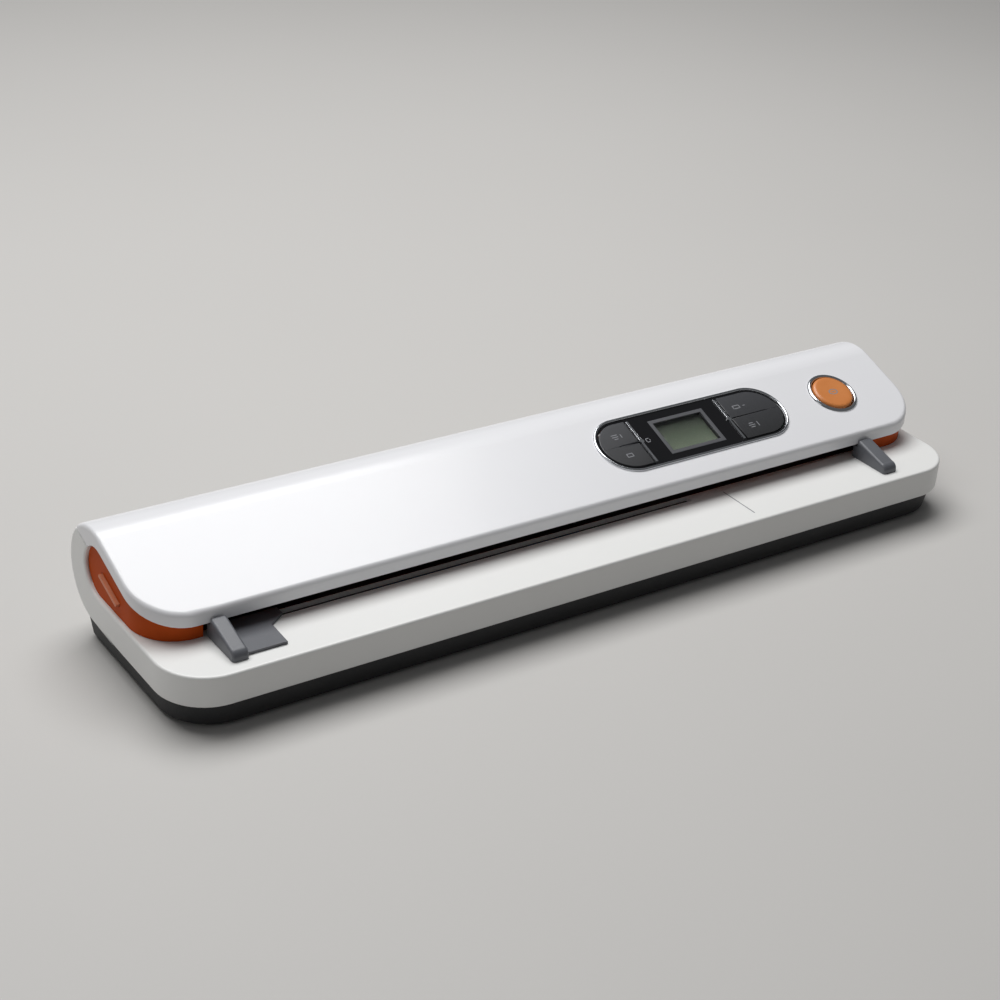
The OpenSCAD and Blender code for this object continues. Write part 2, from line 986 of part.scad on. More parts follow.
// Flat cable from the sensor to the main board
module sensor_cable() {
  color("ivory") place() {
    block([cable_x0, cable_y0, cable_high - cable_t], [sensor_x0 - 0.2, cable_y1, cable_high]);
    block([cable_x0, cable_y0, cable_low], [cable_x0 + cable_t, cable_y1, cable_high]);
    block([cable_x0, cable_y0, cable_low], [cable_x1, cable_y1, cable_low + cable_t]);
    block([cable_x1 - cable_t, cable_y0 + 1, board_z + 1], [cable_x1, cable_y1, cable_low + cable_t]);
  }
}

module image_sensor() {
  color("#202022") place()
    difference() {
      block([sensor_x0, sensor_y0, sensor_z0], [sensor_x1, sensor_y1, sensor_z1]);
      block([sensor_x0 + 2, sensor_y0 + 1, sensor_z0 - 1],
        [sensor_x1 - 2, sensor_y1 - 1, sensor_z0 + 0.8]);
      // Pockets of the springs
      for (x = spring_xs)
        translate([x, (sensor_y0 + sensor_y1) / 2, sensor_z1 - 1])
          cylinder(h = 2, r = spring_r + 0.8);
    }
}

module sensor_glass() {
  color("lightblue", 0.5) place()
    block([sensor_x0 + 2, sensor_y0 + 1, sensor_z0 - 0.2],
      [sensor_x1 - 2, sensor_y1 - 1, sensor_z0 + 0.8]);
}

// A closed tube swept along a helix that rises from low to high
module coil(coil_r, wire_r, low, high, turns) {
  sides = 8;
  steps = turns * 12;
  points = [
    for (i = [0 : steps], j = [0 : sides - 1])
      let (turn = i * 30, out = coil_r + wire_r * cos(j * 360 / sides))
        [out * cos(turn), out * sin(turn),
          low + (high - low) * i / steps + wire_r * sin(j * 360 / sides)]
  ];
  walls = [
    for (i = [0 : steps - 1], j = [0 : sides - 1])
      let (next = (j + 1) % sides)
        [i * sides + j, (i + 1) * sides + j, (i + 1) * sides + next, i * sides + next]
  ];
  first_end = [for (j = [0 : sides - 1]) j];
  last_end = [for (j = [sides - 1 : -1 : 0]) steps * sides + j];
  polyhedron(points, concat(walls, [first_end, last_end]));
}

module sensor_springs() {
  color("silver") place()
    for (x = spring_xs)
      translate([x, (sensor_y0 + sensor_y1) / 2, 0])
        coil(spring_r, spring_wire_r, sensor_z1 - 1 + spring_wire_r,
          spring_top - spring_wire_r, 5);
}

module paper_flag() {
  color("#202022") place() {
    rod(flag_x - 3.1, flag_x + 3.1, flag_y, flag_z, flag_pin_r);
    block([flag_x - 0.6, flag_y - 0.5, tray_t + 0.4], [flag_x + 0.6, flag_y + 0.5, flag_z + 0.1]);
  }
}

// ---- Rollers ----

module driven_shaft(y) {
  rod(shaft_x0, shaft_x1, y, roller_z, shaft_r);
}

module driven_tyres(y) {
  for (x = tyre_xs)
    difference() {
      rod(x - tyre_l / 2, x + tyre_l / 2, y, roller_z, roller_r);
      rod(x - tyre_l, x + tyre_l, y, roller_z, shaft_r);
    }
}

module pinch_shaft(y) {
  rod(left_wall_x, right_wall_x + frame_wall, y, pinch_z, pinch_shaft_r);
}

module pinch_tyres(y) {
  for (x = tyre_xs)
    difference() {
      rod(x - pinch_tyre_l / 2, x + pinch_tyre_l / 2, y, pinch_z, pinch_r);
      rod(x - tyre_l, x + tyre_l, y, pinch_z, pinch_shaft_r);
    }
}

module feed_shaft() {
  color("silver") place() driven_shaft(feed_y);
}

module exit_shaft() {
  color("silver") place() driven_shaft(exit_y);
}

module feed_tyres() {
  color("#4a4a4a") place() driven_tyres(feed_y);
}

module exit_tyres() {
  color("#4a4a4a") place() driven_tyres(exit_y);
}

module feed_pinch_shaft() {
  color("silver") place() pinch_shaft(feed_y);
}

module exit_pinch_shaft() {
  color("silver") place() pinch_shaft(exit_y);
}

module feed_pinch_tyres() {
  color("lightgray") place() pinch_tyres(feed_y);
}

module exit_pinch_tyres() {
  color("lightgray") place() pinch_tyres(exit_y);
}

module roller_bushes() {
  color("ivory") place()
    for (x = [left_bracket_x, bracket_x], y = [feed_y, exit_y])
      difference() {
        rod(x, x + bracket_t, y, roller_z, bush_r);
        rod(x - 1, x + 3, y, roller_z, shaft_r + run);
      }
}

// ---- Gear train ----

to_reduction = atan2(reduction_z - roller_z, reduction_y - feed_y);
to_motor = atan2(motor_z - reduction_z, motor_y - reduction_y);
reduction_angle = mesh_angle(0, feed_n, reduction_n, to_reduction);
motor_angle = mesh_angle(reduction_angle, reduction_n, motor_n, to_motor);
transfer_angle = mesh_angle(0, feed_n, transfer_n, 0);
exit_angle = mesh_angle(transfer_angle, transfer_n, feed_n, 0);

module feed_gear() {
  color("ivory") place() gear(feed_n, 0, feed_y, roller_z, shaft_r, 2);
}

module exit_gear() {
  color("ivory") place() gear(feed_n, exit_angle, exit_y, roller_z, shaft_r, 2);
}

module transfer_gear() {
  color("ivory") place()
    gear(transfer_n, transfer_angle, transfer_y, roller_z, shaft_r + run, 2);
}

module reduction_gear() {
  color("ivory") place()
    gear(reduction_n, reduction_angle, reduction_y, reduction_z, shaft_r + run, 1.8);
}

module motor_gear() {
  color("goldenrod") place()
    gear(motor_n, motor_angle, motor_y, motor_z, 0.75, 1.6);
}

// Posts that the transfer and reduction gears turn on
module gear_studs() {
  color("silver") place() {
    rod(bracket_x, gear_x + gear_t + 0.4, transfer_y, roller_z, shaft_r);
    rod(bracket_x, gear_x + gear_t + 0.4, reduction_y, reduction_z, shaft_r);
  }
}

module motor_shaft() {
  color("silver") place()
    rod(bracket_x + 0.05, gear_x + gear_t + 0.3, motor_y, motor_z, 0.75);
}

module drive_motor() {
  color("silver") place() {
    rod(bracket_x - motor_l, bracket_x, motor_y, motor_z, motor_r);
    rod(bracket_x - motor_l - 1, bracket_x - motor_l + eps, motor_y, motor_z, 2);
  }
}

module gear_bracket() {
  color("darkgray") place()
    difference() {
      block([bracket_x, 9, -5.2], [bracket_x + bracket_t, 53.5, plate_z - 0.02]);
      for (y = [feed_y, exit_y])
        rod(bracket_x - 1, bracket_x + 3, y, roller_z, bush_r);
      rod(bracket_x - 1, bracket_x + 3, transfer_y, roller_z, shaft_r);
      rod(bracket_x - 1, bracket_x + 3, reduction_y, reduction_z, shaft_r);
      rod(bracket_x - 1, bracket_x + 3, motor_y, motor_z, 1.5);
      block([bracket_x - 1, 46, -6], [bracket_x + 3, 54, 1.4]);
    }
}

module bearing_bracket() {
  color("darkgray") place()
    difference() {
      block([left_bracket_x, 25, 2.2], [left_bracket_x + bracket_t, 53, plate_z - 0.02]);
      for (y = [feed_y, exit_y])
        rod(left_bracket_x - 1, left_bracket_x + 3, y, roller_z, bush_r);
    }
}

upper_cover();
tray_shell();
inner_frame();
base_cover();
rubber_feet();
base_screws();
guide_rail();
left_guide();
guide_carriage();
right_guide();
feed_plate();
platen_strip();
panel_plate();
panel_ring();
divider_bars();
lcd_bezel();
lcd_window();
lcd_module();
menu_key_upper();
menu_key_lower();
mode_key_upper();
mode_key_lower();
scan_button();
button_ring();
control_boards();
tact_switches();
main_board();
usb_socket();
card_socket();
memory_card();
battery_pack();
sensor_cable();
image_sensor();
sensor_glass();
sensor_springs();
paper_flag();
feed_shaft();
feed_tyres();
feed_gear();
exit_shaft();
exit_tyres();
exit_gear();
feed_pinch_shaft();
feed_pinch_tyres();
exit_pinch_shaft();
exit_pinch_tyres();
roller_bushes();
gear_bracket();
bearing_bracket();
gear_studs();
transfer_gear();
reduction_gear();
motor_gear();
motor_shaft();
drive_motor();
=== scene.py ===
import json
import math
import bpy
import bmesh
from mathutils import Matrix, Vector

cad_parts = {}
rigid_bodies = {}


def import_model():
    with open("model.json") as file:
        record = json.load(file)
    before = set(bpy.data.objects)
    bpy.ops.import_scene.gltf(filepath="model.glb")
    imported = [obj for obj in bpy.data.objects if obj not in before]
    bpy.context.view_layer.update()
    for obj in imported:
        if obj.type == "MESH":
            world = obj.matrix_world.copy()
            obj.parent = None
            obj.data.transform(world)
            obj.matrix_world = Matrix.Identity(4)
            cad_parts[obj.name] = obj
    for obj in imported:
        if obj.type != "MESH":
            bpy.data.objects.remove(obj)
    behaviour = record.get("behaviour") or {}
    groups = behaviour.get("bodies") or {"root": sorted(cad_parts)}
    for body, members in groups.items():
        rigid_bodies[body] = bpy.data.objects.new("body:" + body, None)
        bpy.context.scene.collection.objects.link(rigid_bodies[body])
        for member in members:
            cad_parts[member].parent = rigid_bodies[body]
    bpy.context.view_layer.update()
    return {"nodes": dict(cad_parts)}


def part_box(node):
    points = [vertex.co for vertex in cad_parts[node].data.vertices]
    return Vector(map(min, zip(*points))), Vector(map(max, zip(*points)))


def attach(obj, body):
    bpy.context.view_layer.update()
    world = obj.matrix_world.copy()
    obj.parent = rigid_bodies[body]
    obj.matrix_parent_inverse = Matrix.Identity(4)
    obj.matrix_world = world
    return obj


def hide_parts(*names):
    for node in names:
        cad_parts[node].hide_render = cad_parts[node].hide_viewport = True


for old in list(bpy.data.objects):
    bpy.data.objects.remove(old)
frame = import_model()
mm = 0.001
# Driving sizes in millimetres, and the cover's slope in degrees
shape = {"length": 270, "trayDepth": 9.2, "trayCorner": 14.5, "coverFront": 17.6, "coverCorner": 14,
         "wrapBack": 51.2, "wrapRadius": 14.4, "tilt": 19.8}
coverTilt = math.radians(shape["tilt"])
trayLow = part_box("tray_shell")[0]
ringLow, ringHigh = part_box("panel_ring")
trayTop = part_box("right_guide")[0].z  # the guides stand on the tray's top face
trayBottom = trayTop - shape["trayDepth"] * mm

print("stage: helpers")


def hexColour(text):
    values = [int(text[i:i + 2], 16) / 255 for i in (1, 3, 5)]
    return [v / 12.92 if v <= 0.04045 else ((v + 0.055) / 1.055) ** 2.4 for v in values] + [1.0]


def addNode(tree, kind, settings=None, values=None, links=None):
    node = tree.nodes.new(kind)
    for key, value in (settings or {}).items():
        setattr(node, key, value)
    for key, value in (values or {}).items():
        node.inputs[key].default_value = value
    for key, source in (links or {}).items():
        tree.links.new(source, node.inputs[key])
    return node


def perMetre(sizeMm):
    return 1000 / sizeMm  # pattern scale for a feature of this size


def newMaterial(name):
    made = bpy.data.materials.new(name)
    made.use_nodes = True
    tree = made.node_tree
    tree.nodes.clear()
    shader = addNode(tree, "ShaderNodeBsdfPrincipled")
    addNode(tree, "ShaderNodeOutputMaterial", links={"Surface": shader.outputs["BSDF"]})
    place = addNode(tree, "ShaderNodeTexCoord").outputs["Object"]
    return made, tree, shader, place


# The common recipe: two close colours that drift, or a painted light ramp from front to rear between
# two places (painted highlight or painted shade), with a grain in the roughness and a fine bump
def surface(name, look):
    made, tree, shader, place = newMaterial(name)
    stretch = addNode(tree, "ShaderNodeMapping", values={"Scale": look.get("stretch", (1, 1, 1))},
                      links={"Vector": place}).outputs["Vector"]
    # Painted light: the colour runs along Y between two places instead of drifting
    if "paintedLightRamp" in look:
        front, rear = look["paintedLightRamp"]
        parts = addNode(tree, "ShaderNodeSeparateXYZ", links={"Vector": place})
        blend = addNode(tree, "ShaderNodeMapRange", values={"From Min": front, "From Max": rear},
                        links={"Value": parts.outputs["Y"]}).outputs["Result"]
    else:
        blend = addNode(tree, "ShaderNodeTexNoise",
                        values={"Scale": perMetre(look.get("driftMm", 30)), "Detail": 3.0},
                        links={"Vector": place}).outputs["Fac"]
    grain = addNode(tree, "ShaderNodeTexNoise",
                    values={"Scale": perMetre(look["grainMm"]), "Detail": 4.0, "Roughness": 0.6},
                    links={"Vector": stretch})
    colour = addNode(tree, "ShaderNodeMix", {"data_type": "RGBA"}, links={0: blend})
    colour.inputs[6].default_value = hexColour(look["colour"])
    colour.inputs[7].default_value = hexColour(look["second"])
    rough = addNode(tree, "ShaderNodeMapRange",
                    values={"From Min": 0.3, "From Max": 0.7,
                            "To Min": look["roughness"] - look.get("roughSpread", 0.03),
                            "To Max": look["roughness"] + look.get("roughSpread", 0.03)},
                    links={"Value": grain.outputs["Fac"]})
    bump = addNode(tree, "ShaderNodeBump",
                   values={"Strength": look.get("bump", 0.1), "Distance": look.get("depthMm", 0.01) * mm},
                   links={"Height": grain.outputs["Fac"]})
    tree.links.new(colour.outputs[2], shader.inputs["Base Color"])
    tree.links.new(rough.outputs["Result"], shader.inputs["Roughness"])
    tree.links.new(bump.outputs["Normal"], shader.inputs["Normal"])
    for socket, value in look.get("shader", {}).items():
        shader.inputs[socket].default_value = value
    return made


# Puts one material on whole nodes of the frame
def paint(made, *nodes):
    for name in nodes:
        piece = frame["nodes"][name]
        for place in piece.material_slots:
            place.material = made


# Makes the mesh a shown piece: shading, material, the body it rides and what it replaces
def finishPiece(name, bm, made, body, replaced=(), smooth=35):
    mesh = bpy.data.meshes.new(name)
    bm.to_mesh(mesh)
    bm.free()
    for face in mesh.polygons:
        face.use_smooth = True
    mesh.set_sharp_from_angle(angle=math.radians(smooth))
    mesh.materials.append(made)
    piece = bpy.data.objects.new(name, mesh)
    bpy.context.scene.collection.objects.link(piece)
    even = piece.modifiers.new("evenNormals", "WEIGHTED_NORMAL")
    even.keep_sharp = True
    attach(piece, body)
    if replaced:
        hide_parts(*replaced)
    return piece


merging = {"gapMm": 0.012, "flatDegrees": 0.4}


# A merged, editable copy of a frame node, flat areas made whole
def copyOf(node):
    bm = bmesh.new()
    bm.from_mesh(frame["nodes"][node].data)
    bmesh.ops.remove_doubles(bm, verts=bm.verts[:], dist=merging["gapMm"] * mm)
    bmesh.ops.dissolve_limit(bm, angle_limit=math.radians(merging["flatDegrees"]),
                             verts=bm.verts[:], edges=bm.edges[:])
    return bm


# Millimetres from the left end, the tray's front edge and the tray's underside
def corner(point):
    return ((point.x - trayLow.x) / mm, (point.y - trayLow.y) / mm, (point.z - trayBottom) / mm)


def bevelEdges(bm, picked, width, segments, slide=True):
    ends = list({v for edge in picked for v in edge.verts})
    bmesh.ops.bevel(bm, geom=picked + ends, offset=width * mm, offset_type="OFFSET",
                    segments=segments, profile=0.5, affect="EDGES", material=-1,
                    clamp_overlap=True, loop_slide=slide)


# Rounds the outward edges that fold by more than sharp degrees and whose two corners pass the test
def roundEdges(bm, width, segments, test, sharp=25):
    picked = []
    for edge in bm.edges:
        if edge.is_convex and edge.calc_face_angle(0) > math.radians(sharp):
            if test(*(corner(v.co) for v in edge.verts)):
                picked.append(edge)
    bevelEdges(bm, picked, width, segments)
    print("rounded", len(picked), "edges by", width)


flatBand = {"corners": 20, "area": 400, "width": 0.2}  # more corners, square millimetres, millimetres


# A narrow band round the large flat areas, so the shading of their middles stays flat
def holdFlats(bm):
    flats = [face for face in bm.faces
             if len(face.verts) > flatBand["corners"] and face.calc_area() > flatBand["area"] * mm ** 2]
    bmesh.ops.inset_region(bm, faces=flats, thickness=flatBand["width"] * mm, use_boundary=True,
                           use_even_offset=True)


print("stage: camera, light and floor")
cameraSetup = {"place": (-0.3122, -0.4038, 0.2934), "azimuth": 36.033, "drop": 28.225, "roll": 4.27,
               "lens": 71.615, "sensor": 36.0, "nearest": 0.01}


def makeCamera(setup):
    turn = math.radians(setup["azimuth"])
    drop = math.radians(setup["drop"])
    ahead = Vector((math.sin(turn) * math.cos(drop), math.cos(turn) * math.cos(drop), -math.sin(drop)))
    right = ahead.cross(Vector((0, 0, 1))).normalized()
    up = right.cross(ahead)
    roll = math.radians(setup["roll"])
    newRight = right * math.cos(roll) + up * math.sin(roll)
    newUp = up * math.cos(roll) - right * math.sin(roll)
    lens = bpy.data.cameras.new("viewCamera")
    lens.lens = setup["lens"]
    lens.sensor_width = setup["sensor"]
    lens.clip_start = setup["nearest"]
    camera = bpy.data.objects.new("viewCamera", lens)
    bpy.context.scene.collection.objects.link(camera)
    turned = Matrix((newRight, newUp, -ahead)).transposed().to_4x4()
    camera.matrix_world = Matrix.Translation(setup["place"]) @ turned
    bpy.context.scene.camera = camera


makeCamera(cameraSetup)
lightSetup = {
    "overhead": {"at": (-0.02, 0.32, 0.87), "aim": (0.02, 0.02, 0), "size": (1.05, 0.6), "watts": 10.2},
    "left": {"at": (-1.0, -0.25, 0.5), "aim": (-0.05, 0, 0.02), "size": (0.5, 0.4), "watts": 0.45},
}


def makeLight(name, setup):
    lamp = bpy.data.lights.new(name, "AREA")
    lamp.shape = "RECTANGLE"
    lamp.size, lamp.size_y = setup["size"]
    lamp.energy = setup["watts"]
    place = bpy.data.objects.new(name, lamp)
    bpy.context.scene.collection.objects.link(place)
    place.location = setup["at"]
    facing = Vector(setup["aim"]) - Vector(setup["at"])
    place.rotation_euler = facing.to_track_quat("-Z", "Y").to_euler()


for name, setup in lightSetup.items():
    makeLight(name, setup)
roomSetup = {"colour": "#e3e5e8", "strength": 0.14}
room = bpy.data.worlds.new("softRoom")
room.use_nodes = True
roomInputs = room.node_tree.nodes["Background"].inputs
roomInputs["Color"].default_value = hexColour(roomSetup["colour"])
roomInputs["Strength"].default_value = roomSetup["strength"]
bpy.context.scene.world = room
bpy.context.scene.view_settings.view_transform = "Standard"

# Painted board, rolled: an even pale field with a trace of roller texture
floorPaint = surface("rolledBoardPaint", {
    "colour": "#c7c5c2", "second": "#c2c0bd", "driftMm": 260, "grainMm": 1.2, "roughness": 0.62,
    "bump": 0.08, "depthMm": 0.02})
floorSetup = {"metres": 6.0}
floorGrid = bmesh.new()
bmesh.ops.create_grid(floorGrid, x_segments=2, y_segments=2, size=floorSetup["metres"] / 2)
floorMesh = bpy.data.meshes.new("floor")
floorGrid.to_mesh(floorMesh)
floorGrid.free()
floorMesh.materials.append(floorPaint)
floor = bpy.data.objects.new("floor", floorMesh)
bpy.context.scene.collection.objects.link(floor)

print("stage: materials")
# Injection-moulded ABS, high gloss: clean white with a sharp sheen and the faintest ripple
whiteAbs = surface("whiteGlossAbs", {
    "colour": "#eeeef0", "second": "#e9e9ec", "driftMm": 60, "grainMm": 0.7, "roughness": 0.26,
    "roughSpread": 0.01, "bump": 0.02, "depthMm": 0.004,
    "shader": {"IOR": 1.53, "Coat Weight": 0.1, "Coat Roughness": 0.1}})
# The same moulding on the tray, a touch warmer and more matt where paper slides over it
trayAbs = surface("whiteSatinAbs", {
    "colour": "#ececea", "second": "#e6e6e4", "driftMm": 50, "grainMm": 0.6, "roughness": 0.34,
    "roughSpread": 0.02, "bump": 0.03, "depthMm": 0.006, "shader": {"IOR": 1.53}})
# Injection-moulded ABS in orange, satin: deep colour that glows where the light gets in
orangeAbs = surface("orangeSatinAbs", {
    "colour": "#c24e0c", "second": "#b54608", "driftMm": 25, "grainMm": 0.7, "roughness": 0.6,
    "bump": 0.1, "depthMm": 0.015, "shader": {"IOR": 1.5, "Specular IOR Level": 0.15}})
# Spark-eroded black ABS: fine even grain that scatters the light
blackAbs = surface("blackGrainedAbs", {
    "colour": "#17181a", "second": "#1e1f21", "driftMm": 30, "grainMm": 0.5, "roughness": 0.55,
    "roughSpread": 0.06, "bump": 0.35, "depthMm": 0.03, "shader": {"IOR": 1.53}})
# Black paint on pressed sheet: dead flat and darker than the black plastic, partly painted shade, so the
# paper path reads as a dark slot
slotBlackPaintedShade = surface("flatBlackWithPaintedShade", {
    "colour": "#0a0a0b", "second": "#0f0f10", "driftMm": 20, "grainMm": 0.4, "roughness": 0.7,
    "roughSpread": 0.06, "bump": 0.2, "depthMm": 0.02, "shader": {"Specular IOR Level": 0.3}})
# Moulded ABS, satin grey: soft sheen along the guides' edges
guideAbs = surface("greySatinAbs", {
    "colour": "#64666b", "second": "#5c5e63", "driftMm": 12, "grainMm": 0.5, "roughness": 0.42,
    "roughSpread": 0.05, "bump": 0.18, "depthMm": 0.02, "shader": {"IOR": 1.53}})
# Polished black acrylic: deep gloss with a crisp reflection
panelAcrylic = surface("polishedBlackAcrylic", {
    "colour": "#0b0b0d", "second": "#101013", "driftMm": 10, "grainMm": 2.0, "roughness": 0.1,
    "roughSpread": 0.02, "bump": 0.02, "depthMm": 0.005,
    "shader": {"IOR": 1.49, "Coat Weight": 0.4, "Coat Roughness": 0.05}})
# Soft-painted ABS keys: dark grey satin with fine speckle, lighter towards the rear as a painted highlight
# of the lamp's reflection
keyAbsPaintedHighlight = surface("darkSatinKeyWithPaintedHighlight", {
    "colour": "#161719", "second": "#3d3e42", "paintedLightRamp": (ringLow.y, ringHigh.y), "grainMm": 0.35,
    "roughness": 0.36, "roughSpread": 0.06, "bump": 0.25, "depthMm": 0.015, "shader": {"IOR": 1.5}})
# Silk-screened grey ink, thin and matt
printInk = surface("screenPrintedGreyInk", {
    "colour": "#8d8e92", "second": "#7c7d81", "driftMm": 2, "grainMm": 0.2, "roughness": 0.6,
    "bump": 0.1, "depthMm": 0.01})
# Chrome-plated ABS: a bright mirror with a hint of waviness from the moulding
chromePlate = surface("chromePlatedTrim", {
    "colour": "#dfe1e4", "second": "#d3d6da", "driftMm": 6, "grainMm": 3.0, "roughness": 0.14,
    "roughSpread": 0.02, "bump": 0.03, "depthMm": 0.005, "shader": {"Metallic": 1.0}})
# Painted frame behind the display, matt dark grey
bezelPaint = surface("displayFramePaint", {
    "colour": "#505155", "second": "#46474b", "driftMm": 8, "grainMm": 0.3, "roughness": 0.45,
    "bump": 0.15, "depthMm": 0.01})
# Pearl-lacquered ABS: warm orange satin that brightens towards the light
buttonLacquer = surface("orangeButtonLacquer", {
    "colour": "#d98a4c", "second": "#cc7a3a", "driftMm": 5, "grainMm": 0.25, "roughness": 0.34,
    "roughSpread": 0.05, "bump": 0.1, "depthMm": 0.01,
    "shader": {"IOR": 1.5, "Coat Weight": 0.2, "Coat Roughness": 0.15}})
# Moulded nitrile pad, dull with a dusty bloom
padRubber = surface("mouldedPadRubber", {
    "colour": "#232324", "second": "#2c2c2d", "driftMm": 4, "grainMm": 0.4, "roughness": 0.8,
    "roughSpread": 0.06, "bump": 0.4, "depthMm": 0.03})
# Ground rubber tyre: fine rings from the grinding wheel round the roller
tyreRubber = surface("groundRollerRubber", {
    "colour": "#4b4c4e", "second": "#424345", "driftMm": 6, "grainMm": 0.6, "stretch": (3, 0.3, 0.3),
    "roughness": 0.72, "roughSpread": 0.05, "bump": 0.3, "depthMm": 0.02})
# Moulded acetal: waxy off-white that barely shines
acetal = surface("mouldedAcetal", {
    "colour": "#d9d6cb", "second": "#cfccc0", "driftMm": 5, "grainMm": 0.6, "roughness": 0.42,
    "bump": 0.1, "depthMm": 0.01, "shader": {"IOR": 1.48}})
# Drawn steel: fine lines along the bar
drawnSteel = surface("drawnSteelRod", {
    "colour": "#b3b6ba", "second": "#a4a7ab", "driftMm": 12, "grainMm": 0.5, "stretch": (0.05, 1, 1),
    "roughness": 0.28, "roughSpread": 0.06, "bump": 0.2, "depthMm": 0.01, "shader": {"Metallic": 1.0}})
# Zinc-plated pressed steel: slightly cloudy grey
platedSteel = surface("zincPlatedSheet", {
    "colour": "#a9adb0", "second": "#989ca0", "driftMm": 5, "grainMm": 0.8, "roughness": 0.38,
    "roughSpread": 0.08, "bump": 0.12, "depthMm": 0.01, "shader": {"Metallic": 1.0}})
# Turned brass: warm metal with close tool lines
turnedBrass = surface("turnedBrass", {
    "colour": "#c49a4e", "second": "#b48a42", "driftMm": 4, "grainMm": 0.4, "stretch": (4, 0.6, 0.6),
    "roughness": 0.3, "roughSpread": 0.06, "bump": 0.2, "depthMm": 0.01, "shader": {"Metallic": 1.0}})
# White polyester strip under the sensor: an even soft sheen
platenFilm = surface("whitePolyesterStrip", {
    "colour": "#f2f2ef", "second": "#eeeeea", "driftMm": 20, "grainMm": 1.0, "roughness": 0.35,
    "bump": 0.05, "depthMm": 0.005})
# Moulded card body, terracotta satin
cardPlastic = surface("mouldedCardPlastic", {
    "colour": "#d98a66", "second": "#cf7f5a", "driftMm": 5, "grainMm": 0.4, "roughness": 0.45,
    "bump": 0.15, "depthMm": 0.01})
# Heat-shrunk PVC film: glossy with tight wrinkles along the cell
batteryFilm = surface("heatShrunkFilm", {
    "colour": "#3a5f8c", "second": "#34567f", "driftMm": 20, "grainMm": 6.0, "stretch": (0.3, 1, 1),
    "roughness": 0.22, "bump": 0.3, "depthMm": 0.1, "shader": {"IOR": 1.5}})
# Laminated flat cable: ivory film with conductors showing as faint lines
cableFilm = surface("laminatedFlatCable", {
    "colour": "#e2ddcd", "second": "#d3cdbb", "driftMm": 1.0, "grainMm": 0.7, "stretch": (0.05, 1, 1),
    "roughness": 0.35, "bump": 0.2, "depthMm": 0.02})
# Moulded nylon switch bodies
switchNylon = surface("mouldedSwitchNylon", {
    "colour": "#2d2e30", "second": "#343537", "driftMm": 3, "grainMm": 0.3, "roughness": 0.5,
    "bump": 0.2, "depthMm": 0.01})


boardLook = {"brick": {"Mortar Size": 0.035, "Brick Width": 0.8, "Row Height": 0.3}, "brickMm": 6.0,
             "resist": ("#0f5a32", "#11633a"), "track": "#2f8a55", "grainMm": 0.8,
             "roughness": (0.28, 0.42), "bump": 0.2, "depthMm": 0.02}


# Etched copper under green solder resist: tracks show as lighter straight runs
def circuitBoard(look):
    made, tree, shader, place = newMaterial("greenSolderResist")
    first, second = look["resist"]
    smooth, dull = look["roughness"]
    tracks = addNode(tree, "ShaderNodeTexBrick", {"offset": 0.5},
                     {"Scale": perMetre(look["brickMm"]), "Color1": hexColour(first),
                      "Color2": hexColour(second), "Mortar": hexColour(look["track"]), **look["brick"]},
                     {"Vector": place})
    grain = addNode(tree, "ShaderNodeTexNoise",
                    values={"Scale": perMetre(look["grainMm"]), "Detail": 3.0}, links={"Vector": place})
    bump = addNode(tree, "ShaderNodeBump",
                   values={"Strength": look["bump"], "Distance": look["depthMm"] * mm},
                   links={"Height": tracks.outputs["Fac"]})
    rough = addNode(tree, "ShaderNodeMapRange", values={"To Min": smooth, "To Max": dull},
                    links={"Value": grain.outputs["Fac"]})
    tree.links.new(tracks.outputs["Color"], shader.inputs["Base Color"])
    tree.links.new(rough.outputs["Result"], shader.inputs["Roughness"])
    tree.links.new(bump.outputs["Normal"], shader.inputs["Normal"])
    return made


# The dark rear colour is painted shade; the front colour is the lit cell
cellLookPaintedShade = {"front": "#b4bfab", "rear": "#3f453e", "speckleMm": 0.3, "speckle": 0.15, "roughness": 0.4}


# Reflective liquid crystal cell: grey-green, lighter towards the front edge and darker towards the rear as
# painted shade from the bezel's recess
def displayCellWithPaintedShade(look, frontEdge, rearEdge):
    made, tree, shader, place = newMaterial("liquidCrystalCellPaintedShade")
    parts = addNode(tree, "ShaderNodeSeparateXYZ", links={"Vector": place})
    paintedLightRamp = addNode(tree, "ShaderNodeMapRange", values={"From Min": frontEdge, "From Max": rearEdge},
                   links={"Value": parts.outputs["Y"]})
    colour = addNode(tree, "ShaderNodeMix", {"data_type": "RGBA"}, links={0: paintedLightRamp.outputs["Result"]})
    colour.inputs[6].default_value = hexColour(look["front"])
    colour.inputs[7].default_value = hexColour(look["rear"])
    cells = addNode(tree, "ShaderNodeTexNoise",
                    values={"Scale": perMetre(look["speckleMm"]), "Detail": 2.0}, links={"Vector": place})
    mixed = addNode(tree, "ShaderNodeMix", {"data_type": "RGBA", "blend_type": "MULTIPLY"},
                    {0: look["speckle"]}, {6: colour.outputs[2], 7: cells.outputs["Color"]})
    tree.links.new(mixed.outputs[2], shader.inputs["Base Color"])
    shader.inputs["Roughness"].default_value = look["roughness"]
    return made


sheetLook = {"rippleMm": 8.0, "roughness": (0.02, 0.06)}


# Clear acrylic or glass sheet: sharp reflection, nearly clear body
def clearSheet(name, tint, ior):
    made, tree, shader, place = newMaterial(name)
    smooth, dull = sheetLook["roughness"]
    ripple = addNode(tree, "ShaderNodeTexNoise",
                     values={"Scale": perMetre(sheetLook["rippleMm"]), "Detail": 2.0},
                     links={"Vector": place})
    rough = addNode(tree, "ShaderNodeMapRange", values={"To Min": smooth, "To Max": dull},
                    links={"Value": ripple.outputs["Fac"]})
    tree.links.new(rough.outputs["Result"], shader.inputs["Roughness"])
    shader.inputs["Base Color"].default_value = hexColour(tint)
    shader.inputs["Transmission Weight"].default_value = 1.0
    shader.inputs["IOR"].default_value = ior
    return made


